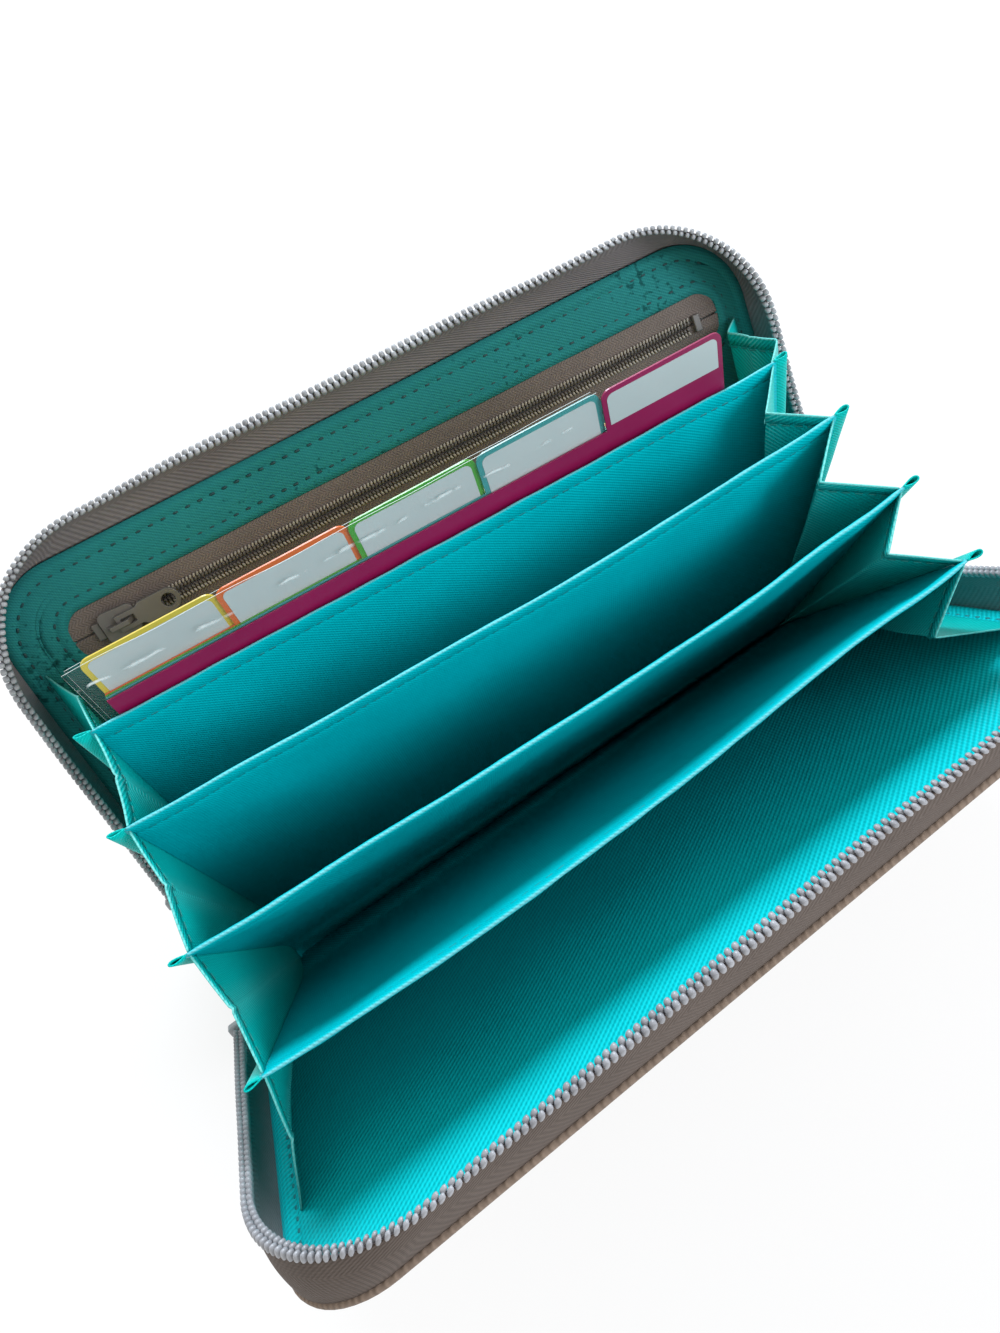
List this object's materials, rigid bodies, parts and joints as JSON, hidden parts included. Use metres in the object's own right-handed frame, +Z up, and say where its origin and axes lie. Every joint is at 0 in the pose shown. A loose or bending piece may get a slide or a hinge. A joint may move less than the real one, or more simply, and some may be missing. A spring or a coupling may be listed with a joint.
{
  "type": "coupon organizer wallet",
  "caption": "Zip-around accordion wallet standing open on its fold, with cloth dividers, folded end gussets, a zip pocket in the back lining and tabbed index cards.",
  "frame": {"origin": "middle of the flat face under the fold", "axes": "+X along the fold to the end where the zip starts, +Y to the back cover, +Z up"},
  "size_m": [0.2044, 0.1614, 0.0981],
  "materials": {
    "outer_cloth": "taupe twill",
    "lining_cloth": "teal satin twill",
    "zip_tape": "taupe herringbone tape",
    "zip_coil": "silver grey coil",
    "stiffener": "plain board",
    "padding": "thin felt",
    "slider_metal": "satin taupe paint",
    "card_yellow": "printed card",
    "card_orange": "printed card",
    "card_green": "printed card",
    "card_teal": "printed card",
    "card_magenta": "printed card",
    "clear_film": "clear film"
  },
  "bodies": {
    "spine": {"spine_wrap": "outer_cloth", "spine_lining": "lining_cloth"},
    "back_cover": {"back_outer": "outer_cloth", "back_board": "stiffener", "back_lining": "lining_cloth", "back_zip_tape": "zip_tape", "back_zip_teeth": "zip_coil", "back_zip_stop": "slider_metal", "pocket_bag": "lining_cloth", "pocket_zip_tape_upper": "zip_tape", "pocket_zip_tape_lower": "zip_tape", "pocket_zip_coil_upper": "zip_coil", "pocket_zip_coil_lower": "zip_coil", "pocket_zip_stops": "slider_metal"},
    "front_cover": {"front_outer": "outer_cloth", "front_board": "stiffener", "front_padding": "padding", "front_lining": "lining_cloth", "front_zip_tape": "zip_tape", "front_zip_teeth": "zip_coil", "front_zip_stop": "slider_metal"},
    "divider_1": {"divider_1": "lining_cloth", "gusset_left_1": "lining_cloth", "gusset_right_1": "lining_cloth"},
    "divider_2": {"divider_2": "lining_cloth", "gusset_left_2": "lining_cloth", "gusset_right_2": "lining_cloth"},
    "divider_3": {"divider_3": "lining_cloth", "gusset_left_3": "lining_cloth", "gusset_right_3": "lining_cloth"},
    "divider_4": {"divider_4": "lining_cloth", "gusset_left_4": "lining_cloth", "gusset_right_4": "lining_cloth", "gusset_left_5": "lining_cloth", "gusset_right_5": "lining_cloth"},
    "card_1": {"card_1": "card_yellow"},
    "card_2": {"card_2": "card_orange"},
    "card_3": {"card_3": "card_green"},
    "card_4": {"card_4": "card_teal"},
    "card_5": {"card_5": "card_magenta"},
    "card_sleeve": {"card_sleeve": "clear_film"},
    "pocket_slider": {"pocket_slider": "slider_metal"},
    "pocket_pull": {"pocket_pull": "slider_metal"},
    "main_slider": {"main_slider": "slider_metal"},
    "main_pull": {"main_pull": "slider_metal"}
  },
  "joints": [
    {"name": "front_fold", "type": "hinge", "parent": "spine", "child": "front_cover", "pos_m": [0, -0.00905, 0.00813], "axis": [0.9947, 0.0348, 0.0971], "range_deg": [-39.59, 0], "deforming": ["gusset_left_1", "gusset_left_2", "gusset_left_3", "gusset_left_4", "gusset_left_5", "gusset_right_1", "gusset_right_2", "gusset_right_3", "gusset_right_4", "gusset_right_5", "spine_wrap", "spine_lining"]},
    {"name": "back_fold", "type": "hinge", "parent": "spine", "child": "back_cover", "pos_m": [0, 0.01458, 0.00611], "axis": [-0.9947, 0.0348, -0.0971], "range_deg": [-39.62, 0]},
    {"name": "divider_1_fold", "type": "hinge", "parent": "spine", "child": "divider_1", "pos_m": [0, 0.00553, -0.01504], "axis": [-0.9753, 0.0279, -0.2191], "range_deg": [-14.88, 0]},
    {"name": "divider_2_fold", "type": "hinge", "parent": "spine", "child": "divider_2", "pos_m": [0, 0.00003, -0.12944], "axis": [-0.7267, 0.012, -0.6868], "range_deg": [-2.77, 0]},
    {"name": "divider_3_fold", "type": "hinge", "parent": "spine", "child": "divider_3", "pos_m": [0, -0.00186, 0.02065], "axis": [0.9997, 0.0022, 0.0238], "range_deg": [-10.82, 0]},
    {"name": "divider_4_fold", "type": "hinge", "parent": "spine", "child": "divider_4", "pos_m": [0, -0.00728, 0.00809], "axis": [0.9942, 0.0209, 0.1059], "range_deg": [-22.45, 0]},
    {"name": "card_sleeve_slide", "type": "slide", "parent": "divider_1", "child": "card_sleeve", "axis": [0.0143, 0.25, 0.9681], "range_m": [0, 0.09]},
    {"name": "card_1_slide", "type": "slide", "parent": "card_sleeve", "child": "card_1", "axis": [0.0143, 0.25, 0.9681], "range_m": [0, 0.09]},
    {"name": "card_2_slide", "type": "slide", "parent": "card_sleeve", "child": "card_2", "axis": [0.0143, 0.25, 0.9681], "range_m": [0, 0.09]},
    {"name": "card_3_slide", "type": "slide", "parent": "card_sleeve", "child": "card_3", "axis": [0.0143, 0.25, 0.9681], "range_m": [0, 0.09]},
    {"name": "card_4_slide", "type": "slide", "parent": "card_sleeve", "child": "card_4", "axis": [0.0143, 0.25, 0.9681], "range_m": [0, 0.09]},
    {"name": "card_5_slide", "type": "slide", "parent": "divider_1", "child": "card_5", "axis": [0.0143, 0.25, 0.9681], "range_m": [0, 0.09]},
    {"name": "pocket_zip_slide", "type": "slide", "parent": "back_cover", "child": "pocket_slider", "axis": [0.9976, -0.0698, 0], "range_m": [0, 0.151]},
    {"name": "pocket_pull_swing", "type": "hinge", "parent": "pocket_slider", "child": "pocket_pull", "pos_m": [-0.06907, 0.06494, 0.06846], "axis": [-0.0443, -0.6332, -0.7727], "range_deg": [0, 150]},
    {"name": "main_zip_slide", "type": "slide", "parent": "spine", "child": "main_slider", "axis": [0, 0, 1], "range_m": [0, 0.003]},
    {"name": "main_pull_swing", "type": "hinge", "parent": "main_slider", "child": "main_pull", "pos_m": [0.1023, 0, 0.0141], "axis": [0, -1, 0], "range_deg": [0, 120]}
  ],
  "couplings": [
    {"joint": "back_fold", "follows": "front_fold", "ratio": 1},
    {"joint": "divider_1_fold", "follows": "front_fold", "ratio": 0.37538},
    {"joint": "divider_2_fold", "follows": "front_fold", "ratio": 0.069497},
    {"joint": "divider_3_fold", "follows": "front_fold", "ratio": 0.27284},
    {"joint": "divider_4_fold", "follows": "front_fold", "ratio": 0.56643}
  ]
}
